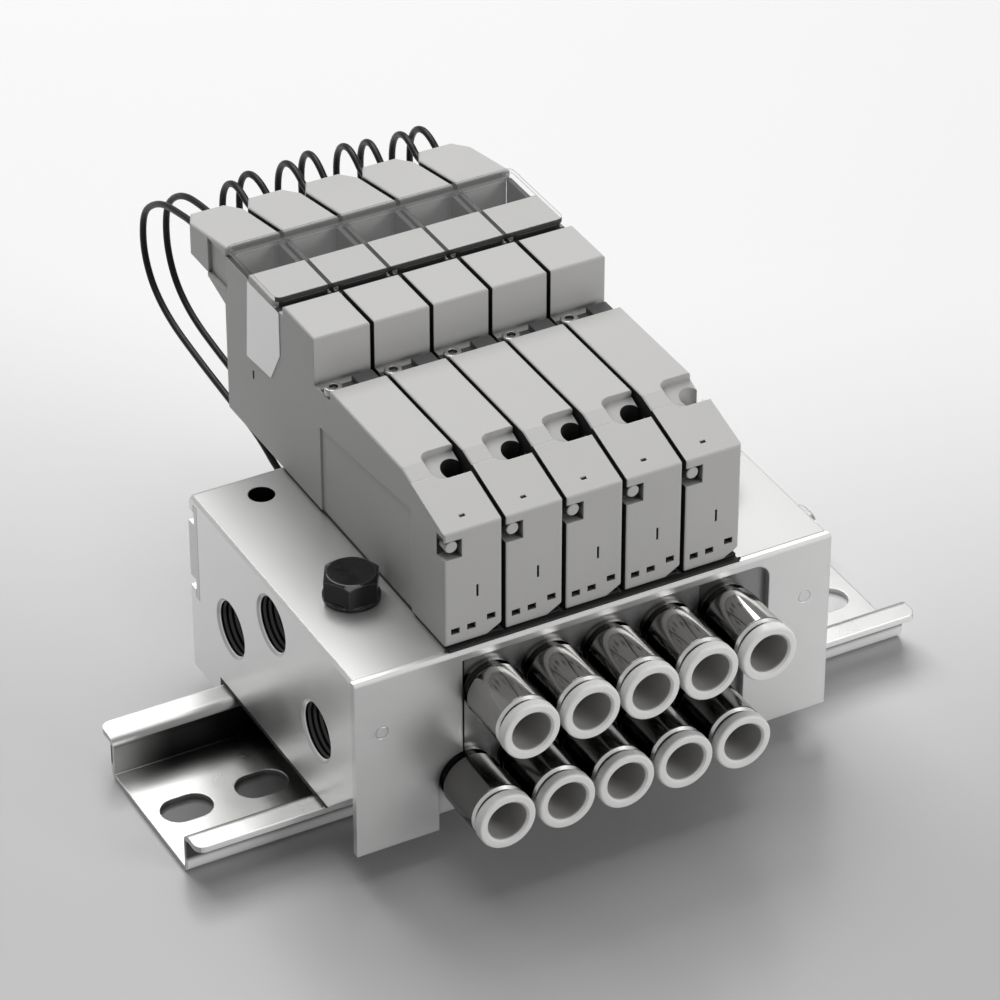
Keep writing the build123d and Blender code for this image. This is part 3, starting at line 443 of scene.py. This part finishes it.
# Barrels: painted shade on the lower row, painted highlight on the front edges
lower_shade = 0.60
barrel_front = -0.0380
tree = looks["nickel"].node_tree
x, y, z = axes(tree)
lower = compute(tree, "LESS_THAN", z, ROW_SPLIT)
overlay(looks["nickel"], compute(tree, "MULTIPLY", lower, lower_shade), grey(0.03))
overlay(looks["nickel"], within(tree, (y, None, barrel_front)), grey(0.92, 0.01), rough=0.3)

# Painted highlight on the top bevel of the port plate, and satin pin ends in it
bevel_y, bevel_z = -0.02755, 0.03635
pin_front, pin_x = -0.0265, 0.0300
tree = looks["plate"].node_tree
x, y, z = axes(tree)
bevel = within(tree, (y, None, bevel_y), (z, bevel_z, None))
overlay(looks["plate"], bevel, grey(0.98, 0.01), rough=0.5, metal=0.0)
tree = looks["steel"].node_tree
x, y, z = axes(tree)
pin = within(tree, (y, None, pin_front), (wide(tree, x), pin_x, None))
overlay(looks["steel"], pin, grey(0.82, 0.01), rough=0.34, metal=0.8)

# Base: painted shade on the top, in the mounting holes, as a dark line under its ends, and in the
# corner and recess in the plate's window
top_face = 0.03695
hole_middle = (0.0305, 0.0222)
hole_radius = 0.00213
hole_z = (0.0300, 0.03690)
end_face = 0.0400
end_foot = 0.0083
rail_side = 0.0185
corner_x = (-0.0227, -0.0217)
window_step = 0.0180
recess_start = 0.0180
tree = looks["base"].node_tree
x, y, z = axes(tree)
overlay(looks["base"], within(tree, (z, top_face, None)), grey(0.52, 0.005), rough=0.38, metal=0.6)
from_hole = distance(tree, wide(tree, x), y, hole_middle)
mount_hole = within(tree, (from_hole, None, hole_radius), (z, *hole_z))
overlay(looks["base"], mount_hole, grey(0.02), rough=0.6)
underside = within(tree, (wide(tree, x), end_face, None), (z, None, end_foot),
                   (wide(tree, y), None, rail_side))
overlay(looks["base"], underside, grey(0.015), rough=0.6, metal=0.0)
corner = within(tree, (y, None, BASE_FRONT), (x, *corner_x), (z, window_step, None))
overlay(looks["base"], corner, grey(0.03), rough=0.6)
recess = within(tree, (y, None, BASE_FRONT), (x, recess_start, None))
overlay(looks["base"], recess, grey(0.30))

# Rail: painted highlight on the outer edges and walls, painted shade under the flanges and along
# the far wall's inside
flange_edge = 0.0172
wall_side = 0.0129
wall_top = 0.0062
shade_z = (0.0022, 0.0033)
far_y = (0.0060, 0.0118)
far_x = (-0.0610, -0.0510)
far_top = 0.0064
tree = looks["rail"].node_tree
x, y, z = axes(tree)
flange = within(tree, (wide(tree, y), flange_edge, None))
overlay(looks["rail"], flange, grey(0.95, 0.01), rough=0.35, metal=0.3)
outer_wall = within(tree, (wide(tree, y), wall_side, None), (z, None, wall_top))
overlay(looks["rail"], outer_wall, grey(0.97, 0.01), rough=0.35, metal=0.0)
below_flange = compute(tree, "MULTIPLY", outer_wall, ramp(tree, z, *shade_z, smooth=True))
overlay(looks["rail"], below_flange, grey(0.06))
far_wall = compute(tree, "MULTIPLY", ramp(tree, y, *far_y, smooth=True),
                   ramp(tree, x, *far_x, smooth=True))
left_inside = within(tree, (z, None, far_top), (y, None, wall_side), (x, None, 0.0))
overlay(looks["rail"], compute(tree, "MULTIPLY", far_wall, left_inside), grey(0.07))

looks["cover"] = clear_cover()

for entry in frame["record"]["subparts"]:
    piece = frame["nodes"][entry["node"]]
    piece.data.materials.clear()
    piece.data.materials.append(looks[entry["material_slot"]])

# Thin black strip along the front of the valves, on the base's top
lip_size = (0.0499, 0.00125, 0.00032)
lip_middle = (0.0, -0.026935, 0.03718)
lip_corner = 0.0005
lip_round = 0.0001
lip_mesh = bpy.data.meshes.new("black_front_strip")
shape = bmesh.new()
bmesh.ops.create_cube(shape, size=1.0)
bmesh.ops.scale(shape, vec=lip_size, verts=shape.verts)
bmesh.ops.translate(shape, vec=lip_middle, verts=shape.verts)
uprights = [e for e in shape.edges if abs(e.verts[0].co.z - e.verts[1].co.z) > lip_size[2] / 2]
bmesh.ops.bevel(shape, geom=uprights, offset=lip_corner, segments=4, affect="EDGES")
rims = [e for e in shape.edges if min(v.co.z for v in e.verts) > lip_middle[2] + lip_round]
bmesh.ops.bevel(shape, geom=rims, offset=lip_round, segments=2, affect="EDGES")
shape.to_mesh(lip_mesh)
shape.free()
lip = bpy.data.objects.new("black_front_strip", lip_mesh)
scene.collection.objects.link(lip)
lip.data.materials.append(looks["gasket"])
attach(lip, "base")

# Leads: smooth cords along their solids' routes, in millimetres apart from their thickness. A point
# of the route has its y, its z, its share of a lead's sway and reach, and its share of the rise.
lead_thickness = 0.0011
plug_end_y = 59.8
strip_end_y = 26.5
lead_z = 61.0
strip_z = 30.9
lead_route = [
    (plug_end_y, lead_z, 0.0, 0.0),
    (plug_end_y + 3.6, lead_z, 0.0, 0.0),
    (plug_end_y + 7.2, lead_z + 1.8, 0.2, 0.5),
    (plug_end_y + 11.1, lead_z + 2.2, 0.5, 0.8),
    (plug_end_y + 14.7, lead_z + 0.8, 0.7, 1.0),
    (plug_end_y + 17.2, lead_z - 2.5, 0.9, 1.0),
    (plug_end_y + 17.7, lead_z - 7.8, 1.0, 0.9),
    (plug_end_y + 17.0, lead_z - 13.6, 1.0, 0.65),
    (plug_end_y + 14.6, lead_z - 19.0, 0.9, 0.4),
    (plug_end_y + 10.0, lead_z - 23.2, 0.6, 0.15),
    (strip_end_y + 35.0, strip_z + 4.7, 0.2, 0.0),
    (strip_end_y + 24.0, strip_z + 3.6, 0.0, 0.0),
    (strip_end_y + 14.7, strip_z + 3.0, 0.0, 0.0),
    (strip_end_y + 6.9, strip_z, 0.0, 0.0),
    (strip_end_y, strip_z, 0.0, 0.0),
]
# Each lead's x at its plug, its sway, rise and reach, and its length in metres
lead_shapes = {
    "1a": (-21.85, 0.1, -5.6, 5.4, 0.0920),
    "1b": (-18.15, -0.3, -4.4, 3.6, 0.0895),
    "2a": (-11.85, 0.6, -1.8, -2.8, 0.0815),
    "2b": (-8.15, -0.2, -0.8, -2.9, 0.0822),
    "3a": (-1.85, 0.5, -0.8, -2.7, 0.0824),
    "3b": (1.85, 0.9, 0.0, -2.9, 0.0830),
    "4a": (8.15, 0.9, -0.4, -2.9, 0.0822),
    "4b": (11.85, 1.2, -0.5, -3.6, 0.0815),
    "5a": (18.15, 1.0, -1.1, -2.8, 0.0815),
    "5b": (21.85, 0.2, -0.8, -3.4, 0.0815),
}
for tag, (x, sway, rise, reach, length) in lead_shapes.items():
    curve = bpy.data.curves.new(f"cord_{tag}", "CURVE")
    curve.dimensions = "3D"
    curve.bevel_depth = lead_thickness / 2
    curve.bevel_resolution = 5
    curve.resolution_u = 8
    curve.use_fill_caps = True
    spline = curve.splines.new("NURBS")
    spline.points.add(len(lead_route) - 1)
    for point, (y, z, bow, lift) in zip(spline.points, lead_route):
        point.co = ((x + sway * bow) / 1000, (y + reach * bow) / 1000, (z + rise * lift) / 1000, 1)
    spline.order_u = 3
    spline.use_endpoint_u = True
    curve.materials.append(looks["lead"])
    cord = bpy.data.objects.new(f"cord_{tag}", curve)
    scene.collection.objects.link(cord)
    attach(cord, "base")
    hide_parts(f"lead_{tag}")

# Pale floor with painted shade: greyer towards the tube side and darker below the rail
floor_size = 6
floor_blotch = 3.0
away = (0.474, 0.880)
grey_to_pale = (-0.06, 0.13)
below_rail_x = (-0.0605, 0.0505)
below_rail_y = 0.0118
lighter_x = (0.0300, 0.0400)
bpy.ops.mesh.primitive_plane_add(size=floor_size)
floor = bpy.context.object
floor.name = "floor"
floor_look = bpy.data.materials.new("floor_pale")
floor_look.use_nodes = True
tree = floor_look.node_tree
shader = tree.nodes["Principled BSDF"]
shader.inputs["Roughness"].default_value = 0.30
shader.inputs["Specular IOR Level"].default_value = 0.35
x, y, z = axes(tree)
# Painted shade: the floor turns grey towards the front
sweep = compute(tree, "ADD", compute(tree, "MULTIPLY", x, away[0]),
                compute(tree, "MULTIPLY", y, away[1]))
back = ramp(tree, sweep, *grey_to_pale, smooth=True)
cloud = noise(tree, object_place(tree), floor_blotch)
pale = mixed(tree, cloud, (0.97, 0.97, 0.975), (0.99, 0.99, 0.995))
dull = mixed(tree, cloud, (0.48, 0.48, 0.485), (0.52, 0.52, 0.525))
# Painted shade below the rail, lighter towards its right end
below_rail = within(tree, (x, *below_rail_x), (wide(tree, y), None, below_rail_y))
shaded = mixed(tree, ramp(tree, x, *lighter_x), grey(0.12), grey(0.34))
ground = mixed(tree, below_rail, mixed(tree, back, dull, pale), shaded)
tree.links.new(ground, shader.inputs["Base Color"])
floor.data.materials.append(floor_look)

# Studio light: dim surroundings, brighter where the camera or a shiny surface sees them
ambient, backdrop = 0.125, 0.42
light_aim = (0, 0, 0.03)
world = bpy.data.worlds.new("studio")
scene.world = world
world.use_nodes = True
tree = world.node_tree
background = tree.nodes["Background"]
background.inputs["Color"].default_value = (1.0, 1.0, 1.0, 1)
rays = tree.nodes.new("ShaderNodeLightPath")
seen = compute(tree, "MAXIMUM", rays.outputs["Is Camera Ray"], rays.outputs["Is Glossy Ray"])
seen = compute(tree, "MAXIMUM", seen, rays.outputs["Is Transmission Ray"])
tree.links.new(ramp(tree, seen, 0.0, 1.0, ambient, backdrop), background.inputs["Strength"])


def soft_box(name, location, size, power):
    """Rectangular lamp that faces the middle of the object."""
    light = bpy.data.lights.new(name, "AREA")
    light.shape = "RECTANGLE"
    light.size, light.size_y = size
    light.energy = power
    lamp = bpy.data.objects.new(name, light)
    scene.collection.objects.link(lamp)
    lamp.location = location
    look_at(lamp, light_aim)


soft_box("key_box", location=(0.10, 0.62, 0.85), size=(0.8, 0.6), power=7.0)
soft_box("top_box", location=(0.0, 0.05, 1.10), size=(0.6, 0.6), power=2.7)
soft_box("fill_box", location=(0.55, -0.85, 0.35), size=(0.5, 0.5), power=4.2)
